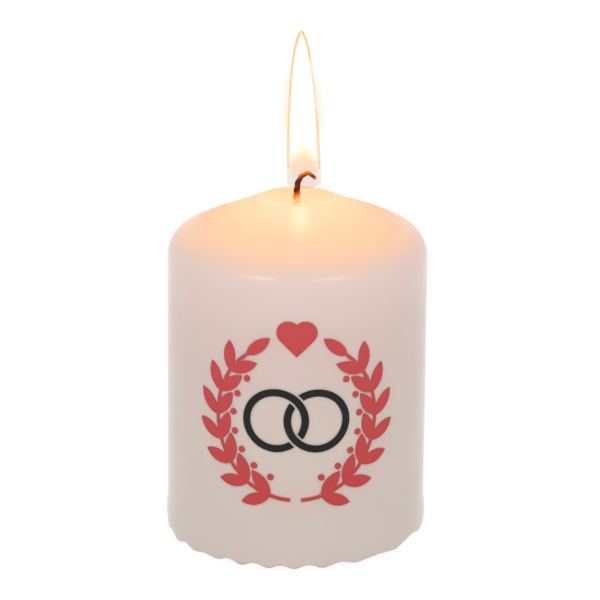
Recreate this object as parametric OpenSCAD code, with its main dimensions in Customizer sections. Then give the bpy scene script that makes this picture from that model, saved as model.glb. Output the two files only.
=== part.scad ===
// A burning wedding pillar candle: a wax core with a dipped coat, a wick on a metal foot,
// a flame, and a wreath, a heart and two linked rings of thin film on the wall.
// Millimetres. The origin is the middle of the base, +Z is up and the front faces -Y.

/* [Pillar] */
// Outside diameter of the pillar
pillar_d = 58; // [50:1:80]
// Height at which the slopes of the head would meet
tip_h = 81.7; // [70:0.1:120]
// Slope of the conical head, in degrees
head_slope = 24.5; // [16:0.5:32]
// Radius of the shoulder between the wall and the head
shoulder_r = 5.8; // [3:0.1:8]
// Thickness of the dipped coat over the core
coat_t = 1.5; // [0.8:0.1:2.4]

/* [Melt crater] */
// Diameter of the rim that the flame has melted into the head
crater_d = 16.6; // [12:0.2:22]
// Depth of the crater below its rim
crater_depth = 2.6; // [1.8:0.1:3.6]
// Depth of the liquid wax at the wick
pool_depth = 0.9; // [0.4:0.1:1.5]

/* [Foot] */
// Radius of the rounding at the foot of the wall
foot_r = 1.2; // [0.4:0.1:2]
// Number of scallops around the foot
scallop_count = 30; // [24:1:36]
// Height of a scallop at the wall
scallop_depth = 1.1; // [0.6:0.1:1.4]
// Width of the scalloped band, from the wall inwards
scallop_band = 4; // [2.5:0.5:7]
// Width of the flat that is left between two scallops at the wall
scallop_land = 0.4; // [0.4:0.1:1.5]

/* [Wick] */
// Diameter of the braided wick
wick_d = 1.8; // [1.2:0.1:2.4]
// Diameter of the wick's burnt end
wick_tip_d = 0.9; // [0.5:0.1:1.1]
// Length of the straight stem above the liquid wax
stem_l = 4.8; // [4.2:0.1:7]
// Lean of the stem to the right, in degrees
stem_lean = 4; // [0:1:10]
// Radius of the curl, along the middle of the wick
curl_r = 2.1; // [1.8:0.1:3]
// Angle that the curl turns through, in degrees
curl_turn = 136; // [95:1:150]
// Room between the wick and its hole, all round
wick_clearance = 0.05; // [0.03:0.01:0.1]

/* [Wick sustainer] */
// Diameter of the stamped disc under the wick
sustainer_d = 20; // [16:1:30]
// Thickness of the sustainer's sheet metal
sheet_t = 0.3; // [0.2:0.05:0.4]
// Height of the neck above the disc
neck_h = 6; // [4:0.5:10]
// Distance from the base up to the disc
sustainer_inset = 0.6; // [0.4:0.1:1.5]
// Room between the sustainer and the wax beside it
sustainer_clearance = 0.1; // [0.05:0.05:0.3]
// Diameter of the stiffening bead, at the middle of the bead
bead_d = 13; // [8:0.5:14]
// Radius of the tool that crimps the neck onto the wick
crimp_r = 0.8; // [0.5:0.1:1.5]
// Depth of a crimp in the neck
crimp_depth = 0.12; // [0.05:0.01:0.18]

/* [Flame] */
// Height of the flame from its mouth to its tip
flame_h = 35.8; // [24:0.2:50]
// Height of the flame's mouth above the liquid wax
flame_rise = 3.8; // [3:0.1:4]
// Distance of the flame's middle to the right of the candle's axis
flame_x = 1.3; // [0.8:0.1:2]
// Lean of the flame to the left, in degrees
flame_lean = 0.9; // [0:0.1:2]
// Height of the flame's rounded bottom
flame_round = 2.2; // [1.6:0.1:3]
// Power of the flame's taper, where more gives a blunter tip
flame_taper = 1.65; // [1.3:0.05:2.4]
// Thickness of the flame's skin
flame_wall = 0.2; // [0.1:0.05:0.3]
// Room between the wick's end and the flame's skin
flame_gap = 0.45; // [0.3:0.05:1]
// Room between the wick's stem and the flame's mouth
mouth_gap = 0.25; // [0.2:0.05:0.6]

/* [Film decoration] */
// Thickness of the film on the wall
film_t = 0.2; // [0.1:0.05:0.4]
// Height of the decoration's middle above the middle of the wall
decor_lift = 2.4; // [0:0.2:3]
// Radius of the wreath, along its stems
wreath_r = 18.5; // [16:0.5:19]
// Width of a wreath stem
stem_w = 0.8; // [0.5:0.1:1.2]
// Gap between the two stems at the bottom of the wreath
stem_gap = 2.4; // [1.6:0.2:5]
// Length of a leaf
leaf_l = 7; // [5:0.5:8]
// Width of a leaf
leaf_w = 2.8; // [2:0.1:3.2]
// Angle between a leaf and its stem, in degrees
leaf_angle = 35; // [28:1:42]
// Diameter of a berry
berry_d = 1.5; // [1:0.1:1.6]
// Gap between a berry and its leaf
berry_gap = 0.5; // [0.3:0.1:0.7]
// Width of the heart
heart_w = 9; // [6:0.5:11]
// Gap between the heart and the nearest leaf
heart_margin = 1.4; // [0.8:0.1:2.5]
// Outside diameter of a wedding ring
ring_d = 14.6; // [11:0.2:16]
// Width of a ring's band
ring_band = 1.6; // [1:0.1:2]
// Gap between the rings and the nearest berry
ring_margin = 1.7; // [0.8:0.1:3]
// Gap in a ring where it passes under the other
ring_gap = 0.5; // [0.3:0.1:0.9]

/* [Hidden] */

$fn = 96;
// Finer steps for the large circle that only just reaches into the pool
pool_fn = 720;
// Distance by which a cutting solid passes the face that it cuts
past = 1;
// The same for the scallops, which have to stay apart from each other outside the wax
scallop_past = 0.1;
scallop_under = 0.03;

// Shoulder: the middle of its rounding, which the core and the coat share
pillar_r = pillar_d / 2;
shoulder_x = pillar_r - shoulder_r;
shoulder_z = tip_h - shoulder_x * tan(head_slope) - shoulder_r / cos(head_slope);

// Foot: its rounding stays inside the coat, and the straight wall starts above its cuts
foot_round = min(foot_r, 0.9 * coat_t);
wall_z = max(foot_round, scallop_depth);

// Crater: a ball through the rim and the lowest point
rim_r = crater_d / 2;
rim_z = tip_h - rim_r * tan(head_slope);
crater_floor = rim_z - crater_depth;
crater_ball_r = (rim_r * rim_r + crater_depth * crater_depth) / (2 * crater_depth);
pool_z = crater_floor + pool_depth;

// Wick: a straight run to the liquid wax, a leaning stem and a curl
wick_r = wick_d / 2;
wick_tip_r = wick_tip_d / 2;
wick_hole_r = wick_r + wick_clearance;
wick_sides = 16;
curl_steps = 14;
stem_top = [stem_l * sin(stem_lean), pool_z + stem_l * cos(stem_lean)];
curl_centre = stem_top + curl_r * [cos(stem_lean), -sin(stem_lean)];
wick_end_heading = stem_lean + curl_turn;
wick_reach = curl_centre.x - (curl_r + wick_tip_r) * cos(wick_end_heading);

// Sustainer: the disc's upper face and the outside of the neck
disc_top = sustainer_inset + sheet_t;
neck_top = disc_top + neck_h;
neck_r = wick_hole_r + sheet_t;

// Flame: wide enough for the curl, with a mouth wide enough for the stem
flame_base = pool_z + flame_rise;
flame_max_r = wick_reach - flame_x + flame_gap + flame_wall;
flame_mouth_r = flame_x - flame_rise * tan(stem_lean) + wick_r + mouth_gap + flame_wall;
flame_steps = 26;

// Decoration: angles on the wreath are measured from its lowest point
decor_z = (wall_z + shoulder_z) / 2 + decor_lift;
sprig_start = asin(stem_gap / 2 / wreath_r);
end_leaf_reach = norm([wreath_r, leaf_l]);
sprig_end = 180 - atan(leaf_l / wreath_r) - asin((heart_w / 2 + heart_margin) / end_leaf_reach);
leaf_step = leaf_l * cos(leaf_angle) / wreath_r * 180 / PI;
leaf_pairs = floor((sprig_end - sprig_start) / leaf_step);
leaf_arc_r = (leaf_l * leaf_l + leaf_w * leaf_w) / (4 * leaf_w);
berry_offset = leaf_w / 2 + berry_gap + berry_d / 2;
berry_reach = leaf_l / 2 * sin(leaf_angle) + berry_offset * cos(leaf_angle) + berry_d / 2;
ring_x = wreath_r - berry_reach - ring_margin - ring_d / 2;
sprig_steps = 24;
lobe_steps = 16;

coat_colour = "#efe3dc";
core_colour = "#f5efe8";
pool_colour = "#fbe6c4";
char_colour = "#5d2a15";
metal_colour = "#c8c8c4";
flame_colour = "#ffd9a0";
coral = "#c45152";
charcoal = "#282828";

// Half outline of the head and the wall down to the given height, drawn in by the inset
module pillar_outline(inset, bottom) {
    round_r = shoulder_r - inset;
    polygon([
        [0, bottom],
        [pillar_r - inset, bottom],
        [pillar_r - inset, shoulder_z],
        [shoulder_x + round_r * sin(head_slope), shoulder_z + round_r * cos(head_slope)],
        [0, tip_h - inset / cos(head_slope)]
    ]);
    translate([shoulder_x, shoulder_z]) circle(round_r);
}

// Half outline of the rounded foot below the wall
module foot_outline() {
    square([pillar_r - foot_round, foot_round]);
    translate([pillar_r - foot_round, foot_round]) circle(foot_round);
}

module crater_ball() {
    translate([0, 0, crater_floor + crater_ball_r]) sphere(crater_ball_r);
}

// Sloping round grooves, highest at the wall and run out inside it, each no lower than it cuts
module scallop_grooves() {
    chord = 2 * pillar_r * sin(180 / scallop_count) - scallop_land;
    groove_r = (chord * chord / 4 + scallop_depth * scallop_depth) / (2 * scallop_depth);
    tilt = atan(scallop_depth / scallop_band);
    for (i = [0 : scallop_count - 1])
        rotate([0, 0, i * 360 / scallop_count]) intersection() {
            translate([pillar_r - scallop_band, 0, 0])
                rotate([0, 90 - tilt, 0])
                    translate([groove_r, 0, -past])
                        cylinder(r = groove_r, h = scallop_band + 3 * past);
            translate([0, 0, -scallop_under])
                cylinder(r = pillar_r + scallop_past, h = scallop_depth + past);
        }
}

module wax_core() {
    color(core_colour) difference() {
        rotate_extrude() pillar_outline(coat_t, 0);
        crater_ball();
        scallop_grooves();
        translate([0, 0, -past]) cylinder(r = wick_hole_r, h = tip_h);
        translate([0, 0, -past])
            cylinder(r = sustainer_d / 2 + sustainer_clearance, h = disc_top + past);
        translate([0, 0, -past])
            cylinder(r = neck_r + sustainer_clearance, h = neck_top + sustainer_clearance + past);
    }
}

module dip_coat() {
    color(coat_colour) difference() {
        rotate_extrude() difference() {
            union() {
                pillar_outline(0, foot_round);
                foot_outline();
            }
            pillar_outline(coat_t, -past);
        }
        crater_ball();
        scallop_grooves();
    }
}

module melt_pool() {
    color(pool_colour) rotate_extrude() intersection() {
        translate([0, crater_floor + crater_ball_r]) circle(crater_ball_r, $fn = pool_fn);
        translate([wick_hole_r, crater_floor]) square([rim_r, pool_depth]);
    }
}

// One ring of points round the wick, square to its heading
function wick_ring(place, heading, r) = [
    for (i = [0 : wick_sides - 1])
        let (turn = i * 360 / wick_sides)
        [
            place.x + r * cos(turn) * cos(heading),
            r * sin(turn),
            place.y - r * cos(turn) * sin(heading)
        ]
];

function curl_place(heading) = curl_centre - curl_r * [cos(heading), -sin(heading)];

module wick() {
    points = concat(
        wick_ring([0, sustainer_inset], 0, wick_r),
        wick_ring([0, pool_z], stem_lean / 2, wick_r),
        [
            for (k = [0 : curl_steps])
                let (heading = stem_lean + curl_turn * k / curl_steps)
                let (r = wick_r + (wick_tip_r - wick_r) * k / curl_steps)
                each wick_ring(curl_place(heading), heading, r)
        ]
    );
    last = len(points) - wick_sides;
    sides = [
        for (first = [0 : wick_sides : last - 1])
            for (i = [0 : wick_sides - 1])
                let (j = (i + 1) % wick_sides)
                each [
                    [first + i, first + wick_sides + i, first + j],
                    [first + j, first + wick_sides + i, first + wick_sides + j]
                ]
    ];
    foot_cap = [for (i = [1 : wick_sides - 2]) [0, i, i + 1]];
    end_cap = [for (i = [1 : wick_sides - 2]) [last, last + i + 1, last + i]];
    color(char_colour) polyhedron(points, concat(sides, foot_cap, end_cap));
}

// Half section of the sustainer: neck, disc and a stamped bead that stands below the disc
module sustainer_outline() {
    translate([wick_hole_r, sustainer_inset]) square([sheet_t, sheet_t + neck_h]);
    difference() {
        union() {
            translate([wick_hole_r, sustainer_inset])
                square([sustainer_d / 2 - wick_hole_r, sheet_t]);
            intersection() {
                translate([bead_d / 2, disc_top]) circle(2 * sheet_t);
                square([sustainer_d, disc_top]);
            }
        }
        translate([bead_d / 2, disc_top]) circle(sheet_t);
    }
}

module wick_sustainer() {
    color(metal_colour) difference() {
        rotate_extrude() sustainer_outline();
        for (i = [0 : 3])
            rotate([0, 0, i * 90])
                translate([neck_r + crimp_r - crimp_depth, 0, disc_top + neck_h / 2])
                    rotate([90, 0, 0])
                        cylinder(r = crimp_r, h = 4 * neck_r, center = true);
    }
}

function flame_height(i) = flame_h * (1 - cos(180 * i / flame_steps)) / 2;

// Radius of the flame: a taper towards the tip, drawn in to the mouth by a quarter ellipse
function flame_radius(h) =
    let (taper = flame_max_r * sqrt(1 - pow(h / flame_h, flame_taper)))
    let (below = max(0, 1 - h / flame_round))
    flame_mouth_r + (taper - flame_mouth_r) * sqrt(1 - below * below);

module flame_mantle() {
    outside = [for (i = [0 : flame_steps]) [flame_radius(flame_height(i)), flame_height(i)]];
    inside = [
        for (i = [flame_steps - 1 : -1 : 0])
            [max(0, flame_radius(flame_height(i)) - flame_wall), flame_height(i)]
    ];
    color(flame_colour)
        translate([flame_x, 0, flame_base])
            rotate([0, -flame_lean, 0])
                rotate_extrude()
                    polygon(concat(outside, [[0, flame_height(flame_steps - 1)]], inside));
}

// The film that lies on the straight part of the wall, cut to the given shapes
module film() {
    intersection() {
        translate([0, 0, wall_z]) difference() {
            cylinder(r = pillar_r + film_t, h = shoulder_z - wall_z);
            translate([0, 0, -past]) cylinder(r = pillar_r, h = shoulder_z + past);
        }
        union() children();
    }
}

// Sets a flat shape square to the wall, the given way round it and above the decoration's middle
module on_wall(along, up) {
    rotate([0, 0, along / pillar_r * 180 / PI])
        translate([0, 0, decor_z + up])
            rotate([90, 0, 0])
                translate([0, 0, pillar_r / 2])
                    linear_extrude(pillar_r / 2 + film_t + past)
                        children();
}

module leaf() {
    intersection_for (side = [-1, 1])
        translate([0, side * (leaf_arc_r - leaf_w / 2)]) circle(leaf_arc_r);
}

// A place on a sprig's stem, and its headings along the stem and away from the wreath's middle
function sprig_place(side, turn) = wreath_r * sprig_outward(side, turn);
function sprig_heading(side, turn) = [side * cos(turn), sin(turn)];
function sprig_outward(side, turn) = [side * sin(turn), -cos(turn)];
function leaf_heading(side, turn, spread) =
    sprig_heading(side, turn) * cos(spread) + sprig_outward(side, turn) * sin(spread);

module sprig_leaf(side, turn, spread) {
    heading = leaf_heading(side, turn, spread);
    middle = sprig_place(side, turn) + heading * leaf_l / 2;
    on_wall(middle.x, middle.y) rotate(atan2(heading.y, heading.x)) leaf();
}

// The stem is bent round the wall, so each point is moved from the flat to the round wall
module sprig_stem(side) {
    turns = [for (i = [0 : sprig_steps]) sprig_start + (sprig_end - sprig_start) * i / sprig_steps];
    edges = concat(
        [for (turn = turns) (wreath_r + stem_w / 2) * sprig_outward(side, turn)],
        [for (i = [sprig_steps : -1 : 0]) (wreath_r - stem_w / 2) * sprig_outward(side, turns[i])]
    );
    translate([0, 0, decor_z])
        rotate([90, 0, 0])
            linear_extrude(pillar_r + film_t + past)
                polygon([for (p = edges) [pillar_r * sin(p.x / pillar_r * 180 / PI), p.y]]);
}

module sprig(side) {
    color(coral) film() {
        sprig_stem(side);
        sprig_leaf(side, sprig_end, 0);
        for (i = [1 : leaf_pairs])
            for (spread = [-leaf_angle, leaf_angle])
                sprig_leaf(side, sprig_end - i * leaf_step, spread);
    }
}

module wreath_left() {
    sprig(-1);
}

module wreath_right() {
    sprig(1);
}

// A berry lies beside the middle of each inner leaf
module berries() {
    color(coral) film()
        for (side = [-1, 1])
            for (i = [1 : leaf_pairs]) {
                turn = sprig_end - i * leaf_step;
                middle = sprig_place(side, turn)
                    + leaf_heading(side, turn, -leaf_angle) * leaf_l / 2
                    + leaf_heading(side, turn, -leaf_angle - 90) * berry_offset;
                on_wall(middle.x, middle.y) circle(berry_d / 2);
            }
}

// A square on its corner with a half disc on each upper side
module heart() {
    side = heart_w / (1 + sqrt(0.5));
    lobe_x = side * sqrt(0.125);
    right_lobe = [
        for (i = [0 : lobe_steps])
            let (turn = -45 + 180 * i / lobe_steps)
            [lobe_x + side / 2 * cos(turn), lobe_x + side / 2 * sin(turn)]
    ];
    left_lobe = [for (i = [lobe_steps - 1 : -1 : 0]) [-right_lobe[i].x, right_lobe[i].y]];
    color(coral) film() on_wall(0, wreath_r)
        polygon(concat([[0, -side * sqrt(0.5)]], right_lobe, left_lobe));
}

module ring_band_outline(extra) {
    difference() {
        circle(ring_d / 2 + extra);
        circle(ring_d / 2 - ring_band - extra);
    }
}

// A ring on one side, cut where it passes under the other ring
module linked_ring(side) {
    color(charcoal) film() on_wall(side * ring_x, 0) difference() {
        ring_band_outline(0);
        intersection() {
            translate([-2 * side * ring_x, 0]) ring_band_outline(ring_gap);
            translate([0, side * ring_d / 2]) square([2 * ring_d, ring_d], center = true);
        }
    }
}

module ring_left() {
    linked_ring(-1);
}

module ring_right() {
    linked_ring(1);
}

wax_core();
dip_coat();
melt_pool();
wick();
wick_sustainer();
flame_mantle();
wreath_left();
wreath_right();
berries();
heart();
ring_left();
ring_right();
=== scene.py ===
# %% [markdown]
# # A burning pillar candle
#
# This lesson dresses the imported model of a wedding candle: a pressed wax core with a smooth dipped coat,
# a crater of molten wax, a charred wick, a flame, and a wreath, a heart and two rings of thin film on the
# wall. The imported model comes in first, because it is the frame that every new piece has to fit.

# %% Load the imported model
import math

import bmesh
import bpy
from mathutils import Matrix, Vector
from mathutils.geometry import interpolate_bezier


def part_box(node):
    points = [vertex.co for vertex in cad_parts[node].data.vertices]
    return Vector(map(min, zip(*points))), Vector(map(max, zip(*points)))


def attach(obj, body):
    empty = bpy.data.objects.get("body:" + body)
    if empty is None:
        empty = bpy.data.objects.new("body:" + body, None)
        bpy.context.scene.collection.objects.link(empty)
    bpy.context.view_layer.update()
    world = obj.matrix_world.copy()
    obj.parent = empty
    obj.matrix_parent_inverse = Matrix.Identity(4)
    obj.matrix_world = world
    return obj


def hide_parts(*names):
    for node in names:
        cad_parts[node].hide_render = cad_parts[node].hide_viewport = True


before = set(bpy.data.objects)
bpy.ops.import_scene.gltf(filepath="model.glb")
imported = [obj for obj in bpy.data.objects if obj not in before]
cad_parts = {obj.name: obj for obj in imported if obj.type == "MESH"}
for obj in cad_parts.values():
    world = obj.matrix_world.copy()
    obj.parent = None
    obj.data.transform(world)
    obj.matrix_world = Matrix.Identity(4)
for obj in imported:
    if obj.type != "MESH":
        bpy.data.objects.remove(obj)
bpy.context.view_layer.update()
print("nodes:", ", ".join(sorted(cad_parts)))

# %% [markdown]
# ## The candle's measures
#
# Blender works in metres and a candle is measured in millimetres, so every length below is written as so
# many `mm`. What the solids can tell is read from their boxes: the radius of the wall, the height of the
# crater's rim and the level of the molten wax. The slopes and thicknesses inside the solids are named
# again here.

# %% Measures
mm = 0.001
coat_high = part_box("dip_coat")[1]
wall_r = coat_high.x
rim_z = coat_high.z
pool_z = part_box("melt_pool")[1].z
rim_r = 8.3 * mm
head_slope = math.radians(24.5)
coat_t = 1.5 * mm
point_z = rim_z + rim_r * math.tan(head_slope)
bowl_depth = 2.6 * mm
bowl_floor = rim_z - bowl_depth
bowl_r = (rim_r ** 2 + bowl_depth ** 2) / (2 * bowl_depth)


def bowl_z(radius):
    """The height of the crater's bowl, which is part of a ball."""
    return bowl_floor + bowl_r - math.sqrt(bowl_r ** 2 - radius ** 2)


print("wall radius %.2f mm, rim at %.2f mm, pool at %.2f mm" % (wall_r / mm, rim_z / mm, pool_z / mm))

# %% [markdown]
# ## The camera
#
# The candle was seen from a little above, through a long lens, by a camera that was turned by half a
# degree. A long lens from far away keeps the wall's sides almost parallel. The camera is placed by its
# height angle and its distance from a point on the candle's axis, then tipped up and turned until the
# candle sits where it should in the square picture. The three turns are multiplied as matrices, because
# their order matters: first the roll about the line of sight, then the tip, then the turn about the
# upright axis.

# %% Camera
view_height = math.radians(19.2)
view_distance = 0.9
view_centre = Vector((0, 0, 40 * mm))
focal_pixels = 3998
picture_pixels = 600
centre_below = 57.75
centre_left = 2.9
camera_roll = math.radians(0.47)

camera_data = bpy.data.cameras.new("camera")
camera_data.sensor_width = 36
camera_data.lens = focal_pixels * camera_data.sensor_width / picture_pixels
camera = bpy.data.objects.new("camera", camera_data)
bpy.context.scene.collection.objects.link(camera)
camera.location = view_centre + view_distance * Vector((0, -math.cos(view_height), math.sin(view_height)))
tip_up = math.atan(centre_below / focal_pixels)
turn_right = math.atan(centre_left / focal_pixels)
look = Matrix.Rotation(math.pi / 2 - view_height + tip_up, 4, "X")
camera.rotation_mode = "QUATERNION"
turned = Matrix.Rotation(-turn_right, 4, "Z") @ look @ Matrix.Rotation(camera_roll, 4, "Z")
camera.rotation_quaternion = turned.to_quaternion()
bpy.context.scene.camera = camera
bpy.context.scene.view_settings.view_transform = "Standard"
bpy.context.scene.cycles.transparent_max_bounces = 128
print("lens %.0f mm at %.2f m" % (camera_data.lens, view_distance))

# %% [markdown]
# ## Writing shaders as sums
#
# A material in Blender is a graph of nodes. Drawn by hand, a formula such as `1 - mask * 0.3` is three
# nodes and their links. `Signal` wraps one socket and lets Python's own operators add those nodes.
# `Finish` holds one material, and its `add` makes any other node: settings first, because some of them
# change which sockets there are, then the values or the links of the sockets. Colours are written as a
# screen shows them and turned into linear light by `paint`.

# %% Signals
class Signal:
    """One output socket, so that formulas of sockets can be written as plain Python."""

    def __init__(self, finish, socket):
        self.finish = finish
        self.socket = socket

    def math(self, operation, *terms):
        return self.finish.add("ShaderNodeMath", {"operation": operation}, dict(enumerate(terms)))

    def output(self, name):
        return Signal(self.finish, self.socket.node.outputs[name])

    def __add__(self, other):
        return self.math("ADD", self, other)

    def __sub__(self, other):
        return self.math("SUBTRACT", self, other)

    def __rsub__(self, other):
        return self.math("SUBTRACT", other, self)

    def __mul__(self, other):
        return self.math("MULTIPLY", self, other)

    def __truediv__(self, other):
        return self.math("DIVIDE", self, other)

    def __pow__(self, other):
        return self.math("POWER", self, other)

    __radd__ = __add__
    __rmul__ = __mul__


# %% Finishes
class Finish:
    """One node tree, of a material or of the world."""

    def __init__(self, tree):
        self.tree = tree
        tree.nodes.clear()

    def add(self, kind, settings=None, sockets=None):
        node = self.tree.nodes.new(kind)
        for name, value in (settings or {}).items():
            if name == "stops":
                self.set_stops(node.color_ramp, value)
            else:
                setattr(node, name, value)
        for name, value in (sockets or {}).items():
            if isinstance(value, Signal):
                self.tree.links.new(value.socket, node.inputs[name])
            else:
                node.inputs[name].default_value = value
        first = next((s for s in node.outputs if s.enabled), None)
        return Signal(self, first)

    def set_stops(self, ramp, stops):
        while len(ramp.elements) < len(stops):
            ramp.elements.new(1)
        for element, (place, colour) in zip(ramp.elements, stops):
            element.position = place
            element.color = colour

    def ramp(self, factor, stops, interpolation="LINEAR"):
        made = self.add("ShaderNodeValToRGB", {"stops": stops}, {"Fac": factor})
        made.socket.node.color_ramp.interpolation = interpolation
        return made

    def mix(self, factor, first, second, blend="MIX"):
        settings = {"data_type": "RGBA", "blend_type": blend}
        return self.add("ShaderNodeMix", settings, {0: factor, 6: first, 7: second})

    def ease(self, value, low, high):
        """0 where the value is below low, 1 where it is above high, and smooth between them."""
        settings = {"interpolation_type": "SMOOTHSTEP"}
        sockets = {"Value": value, "From Min": low, "From Max": high}
        return self.add("ShaderNodeMapRange", settings, sockets)

    def noise(self, scale, detail=2.0, vector=None):
        sockets = {"Vector": vector or self.place(), "Scale": scale, "Detail": detail}
        return self.add("ShaderNodeTexNoise", None, sockets)

    def place(self):
        return self.add("ShaderNodeTexCoord").output("Object")

    def axes(self):
        """The object's own x, y and z, in millimetres."""
        parts = self.add("ShaderNodeSeparateXYZ", None, {"Vector": self.place()})
        return [parts.output(axis) * (1 / mm) for axis in "XYZ"]

    def bump(self, height, strength, distance):
        sockets = {"Height": height, "Strength": strength, "Distance": distance}
        return self.add("ShaderNodeBump", None, sockets)

    def shader(self, sockets):
        return self.add("ShaderNodeBsdfPrincipled", None, sockets)

    def surface(self, sockets):
        self.add("ShaderNodeOutputMaterial", None, {"Surface": self.shader(sockets)})


def new_material(name):
    material = bpy.data.materials.new(name)
    material.use_nodes = True
    return material, Finish(material.node_tree)


# %% Colours
def paint(red, green, blue):
    """A colour as a screen shows it, from 0 to 255, as the linear light that shaders mix."""
    shares = [value / 255 for value in (red, green, blue)]
    linear = [s / 12.92 if s <= 0.04045 else ((s + 0.055) / 1.055) ** 2.4 for s in shares]
    return (*linear, 1.0)


def grey(value):
    return (value, value, value, 1.0)


print("a screen's mid grey is %.3f in linear light" % paint(128, 128, 128)[0])

# %% [markdown]
# ## Turned pieces
#
# Nearly everything on a candle is round, so most pieces are turned as on a lathe: a few corners are
# joined to a profile, the corners are rounded with a vertex bevel, long edges are cut up, and the profile
# is spun about the axis. The spin merges its last step with its first, doubles at the axis are merged,
# and the normals are then recalculated, because a spin can leave the form inside out. `finish_piece`
# turns the mesh into an object that rides on the candle.

# %% Helpers for turned pieces
def draw_profile(corners):
    """A closed line of corners, each a radius and a height, in a new mesh."""
    bm = bmesh.new()
    verts = [bm.verts.new((radius, 0, height)) for radius, height in corners]
    for start, end in zip(verts, verts[1:] + verts[:1]):
        bm.edges.new((start, end))
    return bm, verts


def round_corner(bm, vert, offset, segments):
    bmesh.ops.bevel(
        bm, geom=[vert], offset=offset, offset_type="OFFSET", segments=segments,
        profile=0.5, affect="VERTICES", material=-1,
    )


def cut_long_edges(bm, spacing):
    for edge in bm.edges[:]:
        cuts = int(edge.calc_length() / spacing)
        if cuts:
            bmesh.ops.subdivide_edges(bm, edges=[edge], cuts=cuts)


def spin_round(bm, steps):
    bmesh.ops.spin(
        bm, geom=bm.verts[:] + bm.edges[:], cent=(0, 0, 0), axis=(0, 0, 1),
        angle=math.tau, steps=steps, use_merge=True,
    )
    close_form(bm)


def close_form(bm):
    bmesh.ops.remove_doubles(bm, verts=bm.verts[:], dist=0.002 * mm)
    bmesh.ops.recalc_face_normals(bm, faces=bm.faces[:])


def finish_piece(name, bm, material, stands_for=(), sharp_degrees=40):
    open_edges = sum(1 for edge in bm.edges if len(edge.link_faces) != 2)
    mesh = bpy.data.meshes.new(name)
    bm.to_mesh(mesh)
    bm.free()
    mesh.shade_smooth()
    mesh.set_sharp_from_angle(angle=math.radians(sharp_degrees))
    mesh.materials.append(material)
    piece = bpy.data.objects.new(name, mesh)
    bpy.context.scene.collection.objects.link(piece)
    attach(piece, "root")
    if stands_for:
        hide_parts(*stands_for)
    print("%s: %d faces, %d open edges" % (name, len(mesh.polygons), open_edges))


# %% [markdown]
# ## The wax of the coat
#
# Paraffin lets light in and scatters it, so a lit candle glows round its flame: cream at the rim, peach
# on the slope, pink at the shoulder and then the plain pinkish white of the wall. The shader has
# subsurface scattering, but the glow is a broad soft gradient that also has to survive without the
# flame's own light. So it is painted on as two ramps over the distance from the foot of the flame, one
# that tints the wax's colour with painted flame light and one for the painted glow that comes out of it.
# The wall round the wreath is tinted a little pink at the front. Dipping leaves faint runs, a weak bump.
#
# The gloss changes over the same distance, so there are two shaders with a Mix Shader between them. The
# hard wax of wall and shoulder has a plain satin gloss. The soft wax of the head has only a wet coat
# close to the crater, which mirrors the flame as a broad streak. A weak mirror turns white where it is
# seen at a flat angle, as the far side of the head is. So the coat is a small share of a strong mirror,
# which mirrors almost alike at every angle.

# %% Coat wax
glow_z = 80.0
glow_reach = 100.0
decor_z = 35.3
wreath_r = 18.5

coat_wax, finish = new_material("coat_wax")
x, y, z = finish.axes()
radius = (x * x + y * y) ** 0.5
from_flame = (radius * radius + (z - glow_z) ** 2.0) ** 0.5 / glow_reach
# Base colour: the wax's own colour, tinted cream and peach near the flame by painted flame light.
wax_with_painted_flame_tint = finish.ramp(from_flame, [
    (0.09, paint(206, 190, 158)),
    (0.13, paint(206, 189, 154)),
    (0.20, paint(206, 188, 150)),
    (0.26, paint(206, 188, 161)),
    (0.30, paint(206, 191, 178)),
    (0.33, paint(206, 191, 182)),
    (0.45, paint(206, 188, 181)),
    (0.60, paint(205, 190, 182)),
    (0.80, paint(203, 190, 183)),
])
# Emission: a painted glow of the flame's light in the wax, strongest near the crater.
painted_flame_glow = finish.ramp(from_flame, [
    (0.09, (0.29, 0.155, 0.025, 1)),
    (0.126, (0.30, 0.145, 0.025, 1)),
    (0.17, (0.31, 0.10, 0.025, 1)),
    (0.21, (0.305, 0.083, 0.04, 1)),
    (0.26, (0.275, 0.052, 0.018, 1)),
    (0.285, (0.205, 0.03, 0.0, 1)),
    (0.304, (0.12, 0.036, 0.035, 1)),
    (0.325, (0.095, 0.042, 0.048, 1)),
    (0.352, (0.062, 0.027, 0.036, 1)),
    (0.383, (0.03, 0.012, 0.015, 1)),
    (0.43, (0.016, 0.004, 0.006, 1)),
    (0.50, (0, 0, 0, 1)),
])
along = finish.add("ShaderNodeMath", {"operation": "ARCTAN2"}, {0: x, 1: y * -1}) * (wall_r / mm)
up = z - decor_z
from_wreath = (along * along + up * up) ** 0.5 - wreath_r
beside_wreath = from_wreath.math("ABSOLUTE", from_wreath)
# A pink tint on the wall round the wreath, on the front only.
wreath_pink_mask = (1 - finish.ease(beside_wreath, 1.0, 7.0)) * finish.ease(y * -1, 5.0, 12.0)
cloud = finish.noise(70.0, 3.0)
tinted = finish.mix(wreath_pink_mask * 0.35, wax_with_painted_flame_tint, paint(209, 178, 170))
clouded = finish.mix(cloud * 0.1, tinted, paint(222, 212, 206))
edged = finish.mix((1 - finish.ease(z, 0.3, 1.6)) * 0.6, clouded, paint(203, 178, 168))
runs = finish.add("ShaderNodeMapping", None, {"Vector": finish.place(), "Scale": (260, 260, 45)})
relief = finish.noise(1.0, 3.0, runs) * 0.7 + finish.noise(900.0, 2.0) * 0.3
print("colour, glow and relief: %d nodes" % len(coat_wax.node_tree.nodes))

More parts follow.
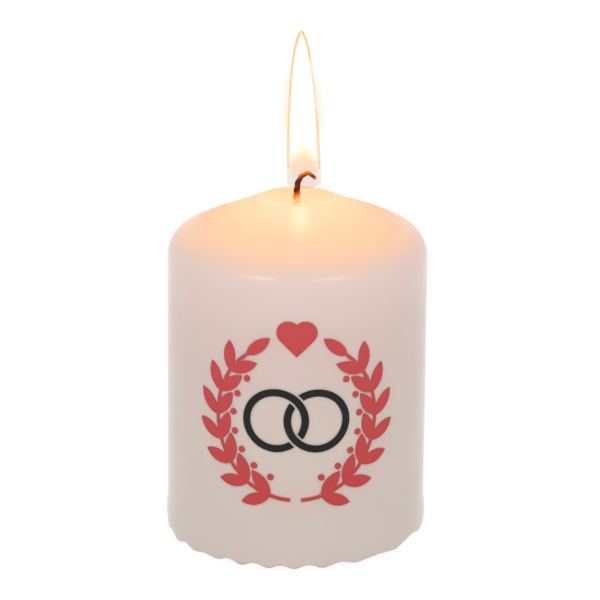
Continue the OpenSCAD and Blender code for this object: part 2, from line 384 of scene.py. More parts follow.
# %% Soft and hard wax
wax = {
    "Base Color": edged,
    "Roughness": 0.24 - finish.ease(from_flame, 0.22, 0.3) * 0.08 + cloud * 0.02,
    "Normal": finish.bump(relief, 0.08, 0.2 * mm),
    "Emission Color": painted_flame_glow,
    "Emission Strength": 1.0,
    "Subsurface Weight": 0.3,
    "Subsurface Radius": (1.0, 0.55, 0.4),
    "Subsurface Scale": 3 * mm,
    "IOR": 1.44,
}
wet = finish.ease(from_flame, 0.08, 0.094) * (1 - finish.ease(from_flame, 0.11, 0.23))
soft_wax = finish.shader({
    **wax,
    "Specular IOR Level": 0.0,
    "Coat Weight": wet * 0.22,
    "Coat IOR": 4.0,
    "Coat Roughness": 0.32,
})
hard_wax = finish.shader({**wax, "Specular IOR Level": 0.24})
hardness = finish.ease(from_flame, 0.21, 0.27)
whole = finish.add("ShaderNodeMixShader", None, {0: hardness, 1: soft_wax, 2: hard_wax})
finish.add("ShaderNodeOutputMaterial", None, {"Surface": whole})
print("coat wax with both shaders: %d nodes" % len(coat_wax.node_tree.nodes))

# %% [markdown]
# ## The dipped coat
#
# A pressed candle is dipped in harder wax, which gives it a smooth skin about 1.5 mm thick over wall,
# shoulder and head. A cylinder with bevelled edges would come close, but a turned profile lets every
# corner have its own radius. The profile is a loop of six corners: the crater's edge, the rim, the
# shoulder, the two corners of the foot and the inner shoulder. The shoulder is the softest of them, so
# the points near it are smoothed before the profile is spun.

# %% Coat profile
crater_edge_r = 6.75 * mm
rim_crest_z = rim_z - 0.04 * mm
rim_round = 0.35 * mm
shoulder_round = 3.45 * mm
shoulder_reach = 9 * mm
inner_round = 2.8 * mm
foot_r = 1.2 * mm
coat_steps = 360
inner_r = wall_r - coat_t
inner_point_z = point_z - coat_t / math.cos(head_slope)
shoulder_z = point_z - wall_r * math.tan(head_slope)
inner_shoulder_z = inner_point_z - inner_r * math.tan(head_slope)
crater_edge_z = inner_point_z - crater_edge_r * math.tan(head_slope)


def is_inner(place):
    """Whether a point of the profile lies on the coat's inner side."""
    depth_below_cone = (point_z - place.z) * math.cos(head_slope) - place.x * math.sin(head_slope)
    return depth_below_cone > 0.7 * coat_t and place.x < wall_r - 0.7 * coat_t


bm, corners = draw_profile([
    (crater_edge_r, crater_edge_z),
    (rim_r, rim_crest_z),
    (wall_r, shoulder_z),
    (wall_r, 0),
    (inner_r, 0),
    (inner_r, inner_shoulder_z),
])
rim_corner, shoulder_corner, foot_corner = corners[1:4]
inner_corner = corners[5]
round_corner(bm, rim_corner, rim_round, 10)
round_corner(bm, shoulder_corner, shoulder_round, 18)
round_corner(bm, foot_corner, foot_r, 8)
round_corner(bm, inner_corner, inner_round, 6)
cut_long_edges(bm, 1.2 * mm)
shoulder = Vector((wall_r, 0, shoulder_z))
near_shoulder = [v for v in bm.verts if (v.co - shoulder).length < shoulder_reach]
outside = [v for v in near_shoulder if not is_inner(v.co)]
for _ in range(6):
    bmesh.ops.smooth_vert(
        bm, verts=outside, factor=0.5, use_axis_x=True, use_axis_y=False, use_axis_z=True,
    )
spin_round(bm, coat_steps)
print("coat: %d vertices, volume %.1f cm3" % (len(bm.verts), bm.calc_volume() * 1e6))

# %% [markdown]
# ## The scalloped foot
#
# The coat ends at the foot in a row of shallow scallops. Separate cutters would leave sharp edges, so the
# scallops are made by moving vertices: every column of the spin knows its angle, and so how far it is
# lifted. Wax is soft and the points are worn, so the ones in view are listed with their places, their
# heights and the depth of the hollow after them, and the others follow at an even distance.

# %% Scallops
foot_band = 8 * mm
foot_lip = 3 * mm
foot_flare = 0.28 * mm
front = -math.pi / 2
seen_points = (
    (-67, -0.3, 0.85),
    (-52.3, -0.12, 0.45),
    (-38, 0.05, 0.87),
    (-25.2, -0.02, 0.9),
    (-12.3, 0.05, 0.75),
    (-0.4, 0.15, 0.85),
    (12.6, 0.22, 0.85),
    (28.5, 0.48, 0.5),
    (52, 0.77, 0.1),
    (64, 2.3, 0.2),
    (73, 1.3, 0.0),
    (86, 1.1, 0.6),
)
hidden_points = 15
hidden_height = 0.2
hidden_hollow = 0.8


def bell(value, middle, width):
    return math.exp(-(((value - middle) / width) ** 2))


def from_front(angle):
    """Degrees round the candle from the middle of its front, up to 180 and positive on the right."""
    return math.degrees((angle - front + math.pi) % math.tau - math.pi)


def points_of_foot():
    """Every point of the foot: its angle, its height and the depth of the hollow after it, in mm."""
    last, first = seen_points[-1][0], seen_points[0][0] + 360
    step = (first - last) / (hidden_points + 1)
    angles = [last + step * (number + 1) for number in range(hidden_points)]
    behind = [(angle, hidden_height, hidden_hollow) for angle in angles]
    return [*seen_points, *behind, (first, *seen_points[0][1:])]


def foot_lift(angle):
    """How far the edge of the foot is lifted at an angle."""
    side = from_front(angle)
    if side < foot_points[0][0]:
        side += 360
    for (start, low, depth), (end, high, _) in zip(foot_points, foot_points[1:]):
        if start <= side <= end:
            share = (side - start) / (end - start)
            hollow = (0.5 - 0.5 * math.cos(math.tau * share)) ** 0.85
            return (low + (high - low) * share + depth * hollow) * mm
    return 0.0


def shape_foot(bm):
    """Lifts and flares the foot of a turned piece, most at its outer edge."""
    for vert in bm.verts:
        if vert.co.z < foot_band:
            angle = math.atan2(vert.co.y, vert.co.x)
            fade = 1 - vert.co.z / foot_band
            inward = max(0, min(1, 1 - (wall_r - foot_r - vert.co.xy.length) / foot_lip))
            vert.co.xy *= 1 + inward * foot_flare * math.sin(math.pi * fade) / wall_r
            vert.co.z = max(0, vert.co.z + foot_lift(angle) * inward * fade * fade)


foot_points = points_of_foot()
shape_foot(bm)
print("foot: %d points" % (len(foot_points) - 1))

# %% [markdown]
# ## The melting head
#
# A cone of wax that has burnt for a while is no longer even. The crater has burnt wider at its sides than
# at its front, and the slope has sagged in places and kept a low hump. Sculpting would be hard to repeat,
# so soft bells and waves over the angle and the radius move the vertices. The same function shapes every
# piece that lies on the head, so that they stay together.

# %% Rim and head
rim_fade_r = 14 * mm
drawn_in = 0.3 * mm
burnt_wider = 0.42 * mm
sag = 0.13 * mm
hump_height = 0.3 * mm
dip_depth = 0.08 * mm
ripple_height = 0.06 * mm


def smooth(value, low, high):
    share = min(1, max(0, (value - low) / (high - low)))
    return share * share * (3 - 2 * share)


def rim_shift(angle):
    """How far the rim is drawn in: the crater burnt wider at its sides than at its front."""
    return drawn_in * max(0, -math.sin(angle)) ** 2 - burnt_wider * math.cos(angle) ** 4


def slump(radius, side):
    """How far the melting head has sunk below a plain cone, most at the sides and the back."""
    return -sag * bell(radius, 15, 4.5) * smooth(abs(side), 60, 110)


def shape_head(bm):
    """Gives a turned piece the crater's drawn-in rim and the uneven slope of the melting head."""
    for vert in bm.verts:
        reach = vert.co.xy.length
        if vert.co.z > inner_shoulder_z and crater_edge_r < reach < wall_r - 0.2 * mm:
            angle = math.atan2(vert.co.y, vert.co.x)
            side = from_front(angle)
            past_crater = smooth(reach, crater_edge_r, 8.0 * mm)
            near_rim = past_crater * (1 - smooth(reach, 8.8 * mm, rim_fade_r))
            shift = rim_shift(angle) * near_rim
            vert.co.xy *= 1 - shift / reach
            outer = smooth(reach, 12 * mm, 22 * mm) * (1 - (reach / wall_r) ** 12)
            hump = hump_height * bell(side, 125, 26) - dip_depth * bell(side, -125, 40)
            ripple = ripple_height * (math.sin(3 * angle + 0.6) + 0.6 * math.sin(5 * angle))
            melted = slump(reach / mm, side) * past_crater
            vert.co.z += shift * math.tan(head_slope) + (hump + ripple) * outer + melted


shape_head(bm)
bmesh.ops.recalc_face_normals(bm, faces=bm.faces[:])
finish_piece("candle_coat", bm, coat_wax, ["dip_coat"])

# %% [markdown]
# ## The molten wax
#
# The flame keeps a shallow pool of liquid wax in the crater. It climbs a little at the wick, where it
# wets the cotton, and leaves a thin film on the crater's wall up to the rim. Its profile is a loop: up
# the wick, out over the level surface, up the wall as a film, and back down along the bowl. The flame
# shines straight into the liquid, and that light is painted on as a flat cream glow. Its gloss is kept
# low, or the film would mirror the studio at the sides of the crater.

# %% Pool
pool_steps = 180
film_t = 0.08 * mm
film_edge_r = 8.42 * mm
film_reach = [6.2 * mm, 6.9 * mm, 7.5 * mm]
bm, corners = draw_profile([
    (0.3 * mm, pool_z + 0.3 * mm),
    (1.2 * mm, pool_z + 0.08 * mm),
    (1.9 * mm, pool_z),
    (4.9 * mm, pool_z + 0.02 * mm),
    *[(radius, bowl_z(radius) + film_t) for radius in film_reach],
    (7.8 * mm, rim_z - 0.26 * mm),
    (8.05 * mm, rim_z - 0.14 * mm),
    (film_edge_r, rim_z - 0.115 * mm),
    (film_edge_r, rim_z - 0.17 * mm),
    *[(radius, bowl_z(radius) - 0.02 * mm) for radius in reversed(film_reach)],
    (5.0 * mm, bowl_z(5.0 * mm)),
    (2.6 * mm, bowl_z(2.6 * mm)),
    (0.3 * mm, bowl_floor),
])
for vert in corners[1:5]:
    round_corner(bm, vert, 0.3 * mm, 5)
cut_long_edges(bm, 0.4 * mm)
spin_round(bm, pool_steps)
shape_head(bm)
print("pool: %d vertices" % len(bm.verts))

# %% Liquid wax
liquid_wax, finish = new_material("liquid_wax")
x, y, z = finish.axes()
from_wick = (x * x + y * y) ** 0.5 / 10.0
ripple = finish.noise(300.0, 2.0)
finish.surface({
    "Base Color": finish.ramp(from_wick, [(0.1, paint(160, 138, 106)), (0.6, paint(160, 142, 112))]),
    "Roughness": 0.1 + ripple * 0.05,
    "Specular IOR Level": 0.04,
    "Normal": finish.bump(ripple, 0.03, 0.2 * mm),
    # Emission: the flame's light in the liquid, painted on as a glow.
    "Emission Color": finish.ramp(from_wick, [
        (0.1, (0.8, 0.47, 0.255, 1)),
        (0.45, (0.8, 0.48, 0.275, 1)),
        (0.7, (0.8, 0.45, 0.25, 1)),
        (0.8, (0.8, 0.43, 0.23, 1)),
    ]),
    "Emission Strength": 1.0,
    "Subsurface Weight": 0.2,
    "Subsurface Scale": 2 * mm,
    "IOR": 1.43,
})
finish_piece("molten_wax", bm, liquid_wax, ["melt_pool"])

# %% [markdown]
# ## The wet spot on the rim
#
# At the front the liquid wax has crept over the rim, and its wet surface mirrors the flame in a short
# white line. The piece is a thin strip on the slope: a four-cornered profile, turned through a small
# angle and closed at both ends. It is a piece of its own because it is far smoother than the coat. A
# whole head as smooth as this would mirror the studio all round.

# %% Wet rim
wet_half = math.radians(12)
wet_steps = 24
wet_in = 8.45 * mm
wet_out = 9.0 * mm
wet_above = 0.06 * mm
wet_below = -0.05 * mm
slope_fall = (rim_crest_z - shoulder_z) / (wall_r - rim_r)


def on_slope(radius, lift):
    """A corner of a profile, at a radius and lifted from the slope of the head."""
    return radius, rim_crest_z - (radius - rim_r) * slope_fall + lift


bm, corners = draw_profile([
    on_slope(wet_in, wet_above),
    on_slope(wet_out, wet_above),
    on_slope(wet_out, wet_below),
    on_slope(wet_in, wet_below),
])
wet_start = Matrix.Rotation(front - wet_half, 3, "Z")
bmesh.ops.rotate(bm, cent=(0, 0, 0), matrix=wet_start, verts=bm.verts[:])
wet_loop = bm.verts[:] + bm.edges[:]
bmesh.ops.spin(
    bm, geom=wet_loop, cent=(0, 0, 0), axis=(0, 0, 1), angle=2 * wet_half, steps=wet_steps,
)
wet_ends = [edge for edge in bm.edges if edge.is_boundary]
bmesh.ops.holes_fill(bm, edges=wet_ends, sides=4)
close_form(bm)
shape_head(bm)
print("wet rim: %.1f mm long" % (2 * wet_half * wet_in / mm))

# %% Wet wax
wet_wax, finish = new_material("wet_wax")
finish.surface({
    # Base colour and emission: the same painted flame tint and glow as the coat near the rim.
    "Base Color": paint(206, 190, 158),
    "Roughness": 0.16,
    "Specular IOR Level": 0.8,
    "Coat Weight": 1.0,
    "Coat Roughness": 0.16,
    "Emission Color": (0.31, 0.17, 0.02, 1),
    "Emission Strength": 1.0,
    "Subsurface Weight": 0.3,
    "Subsurface Radius": (1.0, 0.55, 0.4),
    "Subsurface Scale": 3 * mm,
    "IOR": 1.44,
})
finish_piece("wet_rim", bm, wet_wax)

# %% [markdown]
# ## The wick
#
# A candle wick is braided cotton. It is modelled as three strands that wind about each other, because a
# smooth rod would not show the ridges that catch the light. Its middle line is drawn with Bezier curves,
# as with a pen tool: one through the wax, one for the stem, one up to the top of the bend and one down to
# the ember. Each strand starts as a small circle and is extruded from point to point of that line. At
# every step the new ring is moved by a matrix: the place and heading of the line, the winding and the
# taper. Each vertex keeps the number of its strand and how far it lies to the outer side of the bend,
# because both matter for how the cotton burns.

# %% Wick path
wick_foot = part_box("wick")[0].z
buried = (wick_foot - pool_z) / mm
wick_curves = (
    ((0.0, buried), (0.0, buried / 2), (-0.33, -2.0), (-0.33, 0.0), 24),
    ((-0.33, 0.0), (-0.3, 1.5), (-0.32, 3.1), (-0.13, 4.5), 22),
    ((-0.13, 4.5), (0.06, 5.9), (1.16, 7.1), (2.16, 7.1), 22),
    ((2.16, 7.1), (2.76, 7.1), (3.47, 6.28), (3.81, 5.75), 14),
)
winding = 5.2 * mm
taper_from = 2.5 * mm
taper_to = 0.5


def beside_pool(point):
    """A point of the wick's plane, from its distances right of the axis and above the pool, in mm."""
    return Vector((point[0] * mm, 0, pool_z + point[1] * mm))


wick_line = [beside_pool(wick_curves[0][0])]
for *points, steps in wick_curves:
    wick_line += interpolate_bezier(*[beside_pool(point) for point in points], steps)[1:]
wick_travel = [0.0]
for before, after in zip(wick_line, wick_line[1:]):
    wick_travel.append(wick_travel[-1] + (after - before).length)
taper_start = pool_z - wick_foot + taper_from


def wick_heading(number):
    before = wick_line[max(0, number - 1)]
    after = wick_line[min(len(wick_line) - 1, number + 1)]
    return Matrix.Rotation(math.atan2(after.x - before.x, after.z - before.z), 4, "Y")


def wick_frame(number):
    """The place, heading, winding and thickness of the wick at one point of its line, as one matrix."""
    burnt = max(0, wick_travel[number] - taper_start) / (wick_travel[-1] - taper_start)
    wound = Matrix.Rotation(math.tau * wick_travel[number] / winding, 4, "Z")
    thickness = Matrix.Scale(1 - (1 - taper_to) * burnt, 4)
    return Matrix.Translation(wick_line[number]) @ wick_heading(number) @ wound @ thickness


print("wick: %.1f mm long" % (wick_travel[-1] / mm))

# %% Wick strands
strand_r = 0.45 * mm
strand_offset = 0.36 * mm
strand_sides = 12

bm = bmesh.new()
strand_layer = bm.verts.layers.float.new("strand")
outer_layer = bm.verts.layers.float.new("outer")


def mark_ring(ring, strand, number):
    outer_side = wick_heading(number) @ Vector((-1, 0, 0))
    for vert in ring:
        vert[strand_layer] = strand / 2
        vert[outer_layer] = (vert.co - wick_line[number]).dot(outer_side) / mm


for strand in range(3):
    seat = Matrix.Rotation(strand * math.tau / 3, 4, "Z") @ Matrix.Translation((strand_offset, 0, 0))
    before = wick_frame(0)
    ring = bmesh.ops.create_circle(
        bm, cap_ends=True, radius=strand_r, segments=strand_sides, matrix=before @ seat,
    )["verts"]
    mark_ring(ring, strand, 0)
    edges = list({edge for vert in ring for edge in vert.link_edges})
    for number in range(1, len(wick_line)):
        made = bmesh.ops.extrude_edge_only(bm, edges=edges)["geom"]
        ring = [item for item in made if isinstance(item, bmesh.types.BMVert)]
        edges = [item for item in made if isinstance(item, bmesh.types.BMEdge) and item.is_boundary]
        after = wick_frame(number)
        bmesh.ops.transform(bm, matrix=after @ before.inverted(), verts=ring)
        mark_ring(ring, strand, number)
        before = after
    end_cap = bmesh.ops.contextual_create(bm, geom=edges)["faces"]
    bmesh.ops.inset_region(bm, faces=end_cap, thickness=0.08 * mm, depth=0.08 * mm)
bmesh.ops.recalc_face_normals(bm, faces=bm.faces[:])
print("strands: %d vertices" % len(bm.verts))

# %% [markdown]
# ## Charred cotton
#
# Four things colour the wick. Where it leaves the pool it is soaked in wax and pale. Above that it
# scorches to orange, then chars to a dark brown. On the pale and the orange cotton a painted glow stands
# in for the flame's light. The outer side of the bend, where the flame is hottest, glows orange again,
# one strand less than the other two, and the very end is an ember. Each is a mask over the height above
# the pool, over the vertices' own marks or over the distance from the end.

# %% Charred cotton
wick_end = wick_line[-1] / mm

charred_cotton, finish = new_material("charred_cotton")
x, y, z = finish.axes()
fibre = finish.noise(1400.0, 4.0)
strand = finish.add("ShaderNodeAttribute", {"attribute_name": "strand"}).output("Fac")
outer = finish.add("ShaderNodeAttribute", {"attribute_name": "outer"}).output("Fac")
above_pool = z - pool_z / mm + (fibre - 0.5) * 0.9 + outer * 0.5
soot = finish.ramp(above_pool / 10.0, [
    (0.05, paint(250, 218, 170)),
    (0.12, paint(250, 208, 146)),
    (0.17, paint(252, 150, 50)),
    (0.22, paint(246, 112, 14)),
    (0.27, paint(190, 76, 10)),
    (0.33, paint(90, 39, 17)),
    (0.41, paint(84, 36, 15)),
    (0.47, paint(44, 18, 7)),
    (0.60, paint(38, 15, 6)),
])
from_end = ((x - wick_end.x) ** 2.0 + (z - wick_end.z) ** 2.0) ** 0.5
on_bend = finish.ease(outer, -0.25, 0.3) * finish.ease(above_pool, 5.3, 6.6)
hot_side = on_bend * finish.ease(from_end, 0.6, 2.0)
dark_strand = 1 - finish.ease(strand, 0.1, 0.4)
ember = 1 - finish.ease(from_end, 0.15, 0.75)
scorched = finish.mix(hot_side * (0.9 - dark_strand * 0.6), soot, paint(226, 98, 8))
glowing = finish.mix(ember, scorched, paint(250, 96, 8))
dry = finish.ease(above_pool, 0.8, 1.6)
# A painted glow of the flame's light on the pale and scorched cotton.
painted_flame_light_on_cotton = finish.ramp(above_pool / 10.0, [
    (0.06, (0.12, 0.06, 0.0, 1)),
    (0.18, (0.22, 0.07, 0.0, 1)),
    (0.25, (0.12, 0.02, 0.0, 1)),
    (0.31, (0, 0, 0, 1)),
])
hot_glow_and_painted_light = finish.mix(hot_side * (1 - dark_strand * 0.8), painted_flame_light_on_cotton, (0.16, 0.02, 0.0, 1))
finish.surface({
    "Base Color": finish.mix(fibre * 0.3, glowing, paint(60, 24, 10), "MULTIPLY"),
    "Roughness": 0.35 + dry * 0.5,
    "Specular IOR Level": 0.2,
    "Normal": finish.bump(fibre, 0.6, 0.1 * mm),
    "Emission Color": finish.mix(ember, hot_glow_and_painted_light, (0.85, 0.1, 0.0, 1)),
    "Emission Strength": 1.0,
})
finish_piece("braided_wick", bm, charred_cotton, ["wick"])

# %% [markdown]
# ## The flame
#
# A candle flame is hollow. Its bright body is glowing soot, so bright that it shows white. Round it lies
# a thin orange rim, and inside its lower part is a dark zone of wax vapour that has not caught fire yet.
# A flame could be one volume, but a volume can't be exported. So it is built of shells and blades, and
# all of them follow the one shape below: a round foot, a long taper to the tip, and a middle line that
# drifts to the side.

# %% Flame shape
flame_low, flame_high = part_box("flame_mantle")
flame_base = flame_low.z
flame_height = flame_high.z - flame_low.z
flame_start = 0.45 * mm
flame_r = 3.8 * mm
flame_foot_x = 1.34 * mm
flame_drift = -0.0255
taper_power = 2.0
base_round = 0.75 * mm


def flame_radius(height, top=flame_height, widest=flame_r):
    """The radius of a flame of some height: tapered to the tip and rounded at the bottom."""
    taper = widest * math.sqrt(max(0, 1 - (max(0, height) / top) ** taper_power))
    below = min(1, max(0, 1 - (height - flame_start) / base_round))
    return taper * math.sqrt(1 - below * below)


def place_in_flame(height, radius, turn, shift=0.0):
    """A point of the flame, at a radius from its drifting middle line."""
    middle = flame_foot_x + flame_drift * height + shift
    return Vector((middle + radius * math.cos(turn), radius * math.sin(turn), flame_base + height))


def flame_shell(low, high, profile, shift=0.0, sides=64, rows=56):
    """A closed shell from one height to another above the flame's base."""
    bm = bmesh.new()
    bmesh.ops.create_uvsphere(bm, u_segments=sides, v_segments=rows, radius=1)
    for vert in bm.verts:
        height = low + (high - low) * (vert.co.z + 1) / 2
        vert.co = place_in_flame(height, profile(height), math.atan2(vert.co.y, vert.co.x), shift)
    close_form(bm)
    loose = [edge for edge in bm.edges if not edge.link_faces]
    bmesh.ops.delete(bm, geom=loose, context="EDGES")
    return bm


print("flame: %.1f mm tall from %.1f mm" % (flame_height / mm, flame_base / mm))

# %% [markdown]
# ## The luminous body
#
# The soot in the middle of the flame is so dense that nothing shows through it. A lamp in its place would
# light the wax but not be seen. So the body is a closed shell with a light of its own, which fades in
# above the dark zone. Every gas has the same plain finish: light and alpha, without gloss or colour.

# %% Luminous body
body_top = flame_height - 2.2 * mm
body_low = 10.5 * mm


def body_profile(height):
    rounded = math.sqrt(max(0, min(1, (height - body_low) / (1.5 * mm))))
    return rounded * flame_radius(height, body_top, flame_r - 0.85 * mm)


def above_base(finish):
    """The height above the flame's base, in millimetres."""
    return finish.axes()[2] - flame_base / mm


def gas_surface(finish, alpha, light, strength=1.0):
    """The finish of a gas, which has light of its own and nothing else."""
    finish.surface({
        "Base Color": grey(0),
        "Roughness": 1.0,
        "Specular IOR Level": 0.0,
        "Alpha": alpha,
        "Emission Color": light,
        "Emission Strength": strength,
    })


flame_light, finish = new_material("flame_light")
height = above_base(finish)
body_alpha = finish.ease(height, 10.8, 16.0)
body_light = finish.ramp(height / 36.0, [(0.3, (1.0, 0.87, 0.88, 1)), (0.9, (1.0, 0.9, 0.94, 1))])
gas_surface(finish, body_alpha, body_light, 14.0)
finish_piece("flame_body", flame_shell(body_low, body_top, body_profile), flame_light)

# %% [markdown]
# ## The glowing gas
#
# What the eye sees of a gas depends on how long the line of sight runs through it: the orange rim shows
# only at the edge, and the white of the lower flame only beside the dark zone. A closed shell tints every
# line of sight alike. So the gas is built of many thin upright blades set round the middle line like the
# pages of a fanned book. A line of sight through the middle runs along the blades and meets few, and one
# near the edge meets many.

# %% Glowing gas
blade_count = 61
blade_rows = 64
gas_strength = 4.0
dark_top = 11.6 * mm
dark_full = 4.3 * mm


def dark_radius(height, top):
    """The radius of the dark zone: an arch that widens downwards to the flame's own radius."""
    drop = min(1, max(0, (top - height) / (top - dark_full)))
    return drop ** 0.66 * (flame_radius(height) - 0.15 * mm)


def gas_blades():
    """Upright blades from the dark zone to the flame's surface, with each point's depth below it."""
    bm = bmesh.new()
    depth_layer = bm.verts.layers.float.new("depth")
    for number in range(blade_count):
        turn = math.tau * number / blade_count
        made = bmesh.ops.create_grid(bm, x_segments=4, y_segments=blade_rows, size=1)["verts"]
        for vert in made:
            climb = 0.5 - 0.5 * math.cos(math.pi * (vert.co.y + 1) / 2)
            height = flame_start + (flame_height - flame_start) * climb
            outer = flame_radius(height)
            inner = min(outer, dark_radius(height, dark_top))
            radius = inner + (outer - inner) * (vert.co.x + 1) / 2
            vert[depth_layer] = (outer - radius) / mm
            vert.co = place_in_flame(height, radius, turn)
    bmesh.ops.remove_doubles(bm, verts=bm.verts[:], dist=0.0005 * mm)
    return bm


flame_gas, finish = new_material("flame_gas")
depth = finish.add("ShaderNodeAttribute", {"attribute_name": "depth"}).output("Fac")
x = finish.axes()[0]
height = above_base(finish)
middle_part = finish.ease(height, 13.0, 18.0) * (1 - finish.ease(height, 27.0, 33.0))
soft_side = finish.ease(x, 1.2, 2.6) * middle_part
rim = 1 - finish.ease(depth - soft_side * 0.5, 0.24, 0.5)
rim_alpha = finish.ease(height, 3.0, 5.5) * (1 - soft_side * 0.72) * 0.12
white_alpha = finish.ease(height, 4.2, 7.5) * 0.1
gas_alpha = rim * rim_alpha + (1 - rim) * white_alpha
gas_light = finish.mix(rim, grey(0.285), (0.25, 0.11, 0.0, 1))
gas_surface(finish, gas_alpha, gas_light, gas_strength)
finish_piece("flame_gas", gas_blades(), flame_gas)

# %% [markdown]
# ## The veil at the foot
#
# At its foot the flame is only a faint warm veil, and the wick shows through it. There is no bright edge
# there, so one closed shell of the flame's full shape is enough. It fades out upwards, where the gas and
# the body take over.

# %% Veil at the foot
flame_veil, finish = new_material("flame_veil")
height = above_base(finish)
veil_alpha = finish.ramp(height / 10.0, [
    (0.2, grey(0.13)),
    (0.4, grey(0.09)),
    (0.6, grey(0.02)),
    (0.9, grey(0.0)),
])
veil_light = finish.ramp(height / 10.0, [(0.2, (0.52, 0.1, 0.02, 1)), (0.5, (0.8, 0.3, 0.0, 1))])
gas_surface(finish, veil_alpha, veil_light)
veil = flame_shell(flame_start, flame_height, flame_radius)
finish_piece("flame_veil", veil, flame_veil, ["flame_mantle"])

# %% [markdown]
# ## The dark zone
#
# Inside the lower part of the flame the wax vapour has not caught fire yet, and it dims the light behind
# it. Its edge is soft, which one shell can't give. So a few cones are nested in each other, and each adds
# a little.

# %% Dark zone
cone_count = 5
cone_step = 0.6 * mm

dark_zone, finish = new_material("dark_zone")
height = above_base(finish)
dark_alpha = finish.ramp(height / 12.5, [
    (0.20, grey(0.008)),
    (0.34, grey(0.040)),
    (0.43, grey(0.056)),
    (0.52, grey(0.062)),
    (0.60, grey(0.056)),
    (0.67, grey(0.046)),
    (0.74, grey(0.032)),
    (0.82, grey(0.016)),
    (0.92, grey(0.0)),
])
dark_light = finish.ramp(height / 12.5, [
    (0.20, (0.55, 0.1, 0.0, 1)),
    (0.34, (0.85, 0.36, 0.0, 1)),
    (0.43, (0.98, 0.46, 0.0, 1)),
    (0.52, (0.98, 0.49, 0.0, 1)),
    (0.60, (1.0, 0.62, 0.0, 1)),
    (0.67, (1.0, 0.73, 0.0, 1)),
    (0.75, (1.0, 0.85, 0.0, 1)),
])
gas_surface(finish, dark_alpha, dark_light)
for number in range(cone_count):
    top = dark_top + cone_step * (2 - number)
    width = 0.98 - 0.09 * number
    low = flame_start + 0.06 * mm * (number + 1)
    cone = flame_shell(low, top, lambda h: width * dark_radius(h, top), sides=48, rows=40)
    finish_piece("dark_zone_%d" % (number + 1), cone, dark_zone)

# %% [markdown]
# ## The halo
#
# So bright a light spreads a little, and a faint warm glow lies round the middle of the flame. A blur
# over the finished picture would be lost in the export. Three faint shells, each wider than the last,
# fade outwards instead.

# %% Halo
halo_low = 8.5 * mm
halo_high = 31.0 * mm

flame_halo, finish = new_material("flame_halo")
height = above_base(finish)
halo_alpha = finish.ease(height, 9.0, 16.0) * (1 - finish.ease(height, 22.0, 30.0)) * 0.045
halo_light = finish.ramp(height / 36.0, [(0.3, (1.0, 0.6, 0.05, 1)), (0.8, (1.0, 0.62, 0.1, 1))])
gas_surface(finish, halo_alpha, halo_light)
for part, spread in (("near", 0.45 * mm), ("mid", 0.95 * mm), ("far", 1.5 * mm)):
    def halo_profile(h, spread=spread):
        along_halo = (h - halo_low) / (halo_high - halo_low)
        swell = math.sqrt(max(0, 1 - (2 * along_halo - 1) ** 4))
        return (flame_radius(h) + spread) * swell
    halo = flame_shell(halo_low, halo_high, halo_profile, sides=48, rows=32)
    finish_piece("flame_halo_" + part, halo, flame_halo)

# %% [markdown]
# ## Film and tinplate
#
# The solids of the film pieces and of the wick's metal foot already have the right shape, so they stay
# and only get a finish. Transfer film is printed colour under a thin satin lacquer: the ink lies a little
# uneven, which is one noise for the colour and a finer one for the gloss. The sustainer is stamped
# tinplate with fine turning marks, a noise over the radius alone.

# %% Film
def film_finish(name, upper, lower, speck):
    material, finish = new_material(name)
    height = finish.axes()[2]
    # The film's colour is a little lighter towards the top.
    film_tone = finish.ramp(height / 60.0, [(0.2, lower), (0.95, upper)])
    patchy = finish.noise(420.0, 3.0)
    grain = finish.noise(2600.0, 2.0)
    finish.surface({
        "Base Color": finish.mix(patchy * 0.35, film_tone, speck),
        "Roughness": 0.4 + grain * 0.15,
        "Specular IOR Level": 0.25,
        "Normal": finish.bump(grain, 0.08, 0.05 * mm),
        "IOR": 1.45,
    })
    return material


coral_film = film_finish("coral_film", paint(188, 66, 67), paint(180, 56, 57), paint(195, 80, 80))
charcoal_film = film_finish("charcoal_film", paint(22, 22, 23), paint(16, 16, 17), paint(34, 33, 33))
print("films:", coral_film.name, "and", charcoal_film.name)

# %% Tinplate
tinplate, finish = new_material("tinplate")
x, y, z = finish.axes()
turned_r = (x * x + y * y) ** 0.5
mark_sockets = {"W": turned_r, "Scale": 9.0, "Detail": 4.0}
marks = finish.add("ShaderNodeTexNoise", {"noise_dimensions": "1D"}, mark_sockets)
finish.surface({
    "Base Color": finish.ramp(marks, [(0.3, paint(196, 196, 193)), (0.7, paint(222, 222, 219))]),
    "Metallic": 1.0,
    "Roughness": 0.26 + marks * 0.2,
    "Normal": finish.bump(marks, 0.1, 0.05 * mm),
})
print("tinplate: %d nodes" % len(tinplate.node_tree.nodes))

# %% Finishes for the solids
node_finishes = {
    "wick_sustainer": tinplate,
    "wreath_left": coral_film,
    "wreath_right": coral_film,
    "berries": coral_film,
    "heart": coral_film,
    "ring_left": charcoal_film,
    "ring_right": charcoal_film,
}
for name, material in node_finishes.items():
    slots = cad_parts[name].data.materials
    slots.clear()
    slots.append(material)
    print(name, "gets", material.name)

# %% [markdown]
# ## The core
#
# The core is pressed from wax grains, which show as a mottle underneath. Its solid has an even foot, and
# this one has to follow the worn foot of the coat, so it is turned anew and given the same foot. In its
# base is the recess for the sustainer, with a narrower one for the crimped neck, and the hole for the
# wick goes up from there.

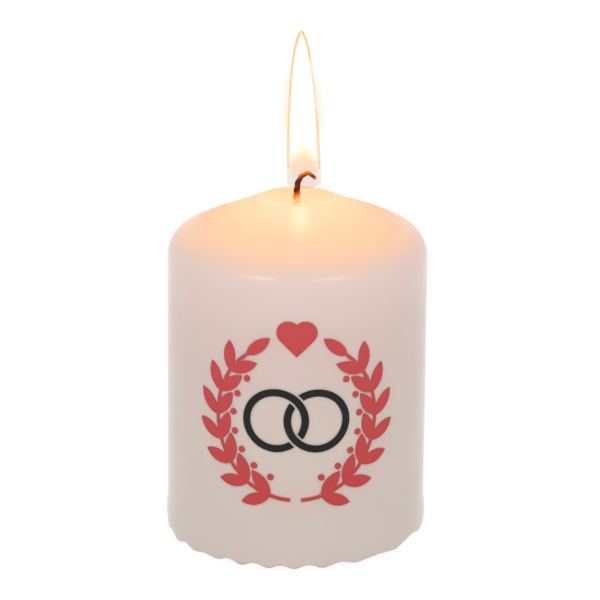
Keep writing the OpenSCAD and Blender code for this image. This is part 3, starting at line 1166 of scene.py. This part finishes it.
# %% Core
core_steps = 240
core_gap = 0.03 * mm
recess_r = 10.1 * mm
recess_z = 0.9 * mm
neck_r = 1.35 * mm
neck_z = 7.0 * mm
hole_r = 0.95 * mm
core_r = inner_r - core_gap
core_shoulder_z = inner_shoulder_z - core_gap
bm, corners = draw_profile([
    (hole_r, bowl_floor - core_gap),
    *[(radius * mm, bowl_z(radius * mm) - core_gap) for radius in (2.0, 3.3, 4.5, 5.7)],
    (crater_edge_r, crater_edge_z - core_gap),
    (core_r, core_shoulder_z),
    (core_r, 0),
    (recess_r, 0),
    (recess_r, recess_z),
    (neck_r, recess_z),
    (neck_r, neck_z),
    (hole_r, neck_z),
])
round_corner(bm, corners[6], inner_round, 6)
cut_long_edges(bm, 2 * mm)
spin_round(bm, core_steps)
shape_foot(bm)
print("core: %d vertices" % len(bm.verts))

# %% Core wax
core_wax, finish = new_material("core_wax")
grains = finish.add("ShaderNodeTexVoronoi", None, {"Vector": finish.place(), "Scale": 650.0})
grain_size = grains.output("Distance")
finish.surface({
    "Base Color": finish.ramp(grain_size, [(0.1, paint(226, 216, 209)), (0.7, paint(205, 192, 184))]),
    "Roughness": 0.5 + grain_size * 0.2,
    "Normal": finish.bump(grain_size, 0.15, 0.2 * mm),
    "Subsurface Weight": 0.25,
    "Subsurface Scale": 2 * mm,
    "IOR": 1.44,
})
finish_piece("pressed_core", bm, core_wax, ["wax_core"])

# %% [markdown]
# ## Floor, world and lights
#
# The studio is plain: a white world that lights the candle evenly from all round, a pale floor, and two
# soft boxes. The boxes are wide and low, so that each leaves a short quiet arc of shine on the shoulder.
# A camera ray that meets the world or the floor is shown white. The floor still keeps a share of its own
# shading, so the candle has a soft shadow where it stands. Mirror and see-through rays get the same
# white, and all other rays see the plain levels that light the candle.

# %% World
def seen_directly(finish):
    """1 for rays from the camera and mirrored or see-through rays, and 0 for rays that bring light."""
    path = finish.add("ShaderNodeLightPath")
    rays = [path.output(name) for name in ("Is Camera Ray", "Is Glossy Ray", "Is Transmission Ray")]
    return rays[0].math("MAXIMUM", rays[0].math("MAXIMUM", rays[0], rays[1]), rays[2])


dome_level = 0.8
world = bpy.data.worlds.new("studio")
world.use_nodes = True
bpy.context.scene.world = world
finish = Finish(world.node_tree)
level = seen_directly(finish) * (1 - dome_level) + dome_level
sky = finish.add("ShaderNodeBackground", None, {"Color": grey(1), "Strength": level})
finish.add("ShaderNodeOutputWorld", None, {"Surface": sky})
print("the world lights the candle at %.2f of its white" % dome_level)

# %% Floor
floor_half = 4.0
white_unseen = 0.35
white_seen = 0.85

floor_paint, finish = new_material("floor_paint")
lit = finish.add("ShaderNodeBsdfDiffuse", None, {"Color": grey(0.85)})
white = finish.add("ShaderNodeEmission", None, {"Color": grey(1), "Strength": 1.06})
whiteness = seen_directly(finish) * (white_seen - white_unseen) + white_unseen
shade = finish.add("ShaderNodeMixShader", None, {0: whiteness, 1: lit, 2: white})
finish.add("ShaderNodeOutputMaterial", None, {"Surface": shade})

bm = bmesh.new()
bmesh.ops.create_grid(bm, x_segments=1, y_segments=1, size=floor_half)
floor_mesh = bpy.data.meshes.new("floor")
bm.to_mesh(floor_mesh)
bm.free()
floor_mesh.materials.append(floor_paint)
floor = bpy.data.objects.new("floor", floor_mesh)
bpy.context.scene.collection.objects.link(floor)
print("floor: %.0f m wide" % (2 * floor_half))

# %% Soft boxes
box_distance = 0.7
box_size = (0.34, 0.11)


def soft_box(name, direction, watts):
    data = bpy.data.lights.new(name, "AREA")
    data.shape = "ELLIPSE"
    data.size, data.size_y = box_size
    data.energy = watts
    lamp = bpy.data.objects.new(name, data)
    bpy.context.scene.collection.objects.link(lamp)
    way = Vector(direction).normalized()
    lamp.location = view_centre + box_distance * way
    lamp.rotation_mode = "QUATERNION"
    lamp.rotation_quaternion = way.to_track_quat("Z", "Y")
    print("%s: %.2f W" % (name, watts))


soft_box("key_box", (-0.46, -0.64, 0.61), 0.9)
soft_box("fill_box", (0.46, -0.64, 0.62), 0.75)
